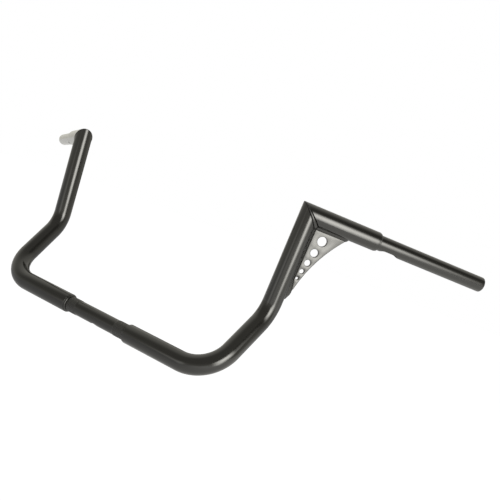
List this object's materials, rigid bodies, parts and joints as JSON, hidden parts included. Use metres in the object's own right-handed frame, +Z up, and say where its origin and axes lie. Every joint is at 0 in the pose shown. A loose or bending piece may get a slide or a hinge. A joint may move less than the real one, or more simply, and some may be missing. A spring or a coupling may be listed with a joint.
{
  "type": "ape hanger handlebar",
  "caption": "Ape hanger motorcycle handlebar in gloss black: bent tube risers, stepped clamp and grip tubes, mitred corners and drilled gusset plates.",
  "frame": {"origin": "middle of the clamp tube, on its axis, halfway between the two clamps", "axes": "+X along the clamp tube to the rider's left, +Y back to the rider, +Z up as the picture shows the bar, with its risers upright"},
  "size_m": [1.0216, 0.3216, 0.3071],
  "materials": {
    "gloss_black_paint": "gloss black powder coat on steel tube",
    "painted_weld": "gloss black powder coat over rippled weld bead"
  },
  "bodies": {
    "root": {"clamp_tube": "gloss_black_paint", "left_riser_tube": "gloss_black_paint", "left_upper_tube": "gloss_black_paint", "left_grip_tube": "gloss_black_paint", "left_gusset": "gloss_black_paint", "left_mitre_weld": "painted_weld", "left_gusset_weld": "painted_weld", "left_clamp_weld": "painted_weld", "left_step_weld": "painted_weld", "right_riser_tube": "gloss_black_paint", "right_upper_tube": "gloss_black_paint", "right_grip_tube": "gloss_black_paint", "right_gusset": "gloss_black_paint", "right_mitre_weld": "painted_weld", "right_gusset_weld": "painted_weld", "right_clamp_weld": "painted_weld", "right_step_weld": "painted_weld"}
  },
  "joints": []
}
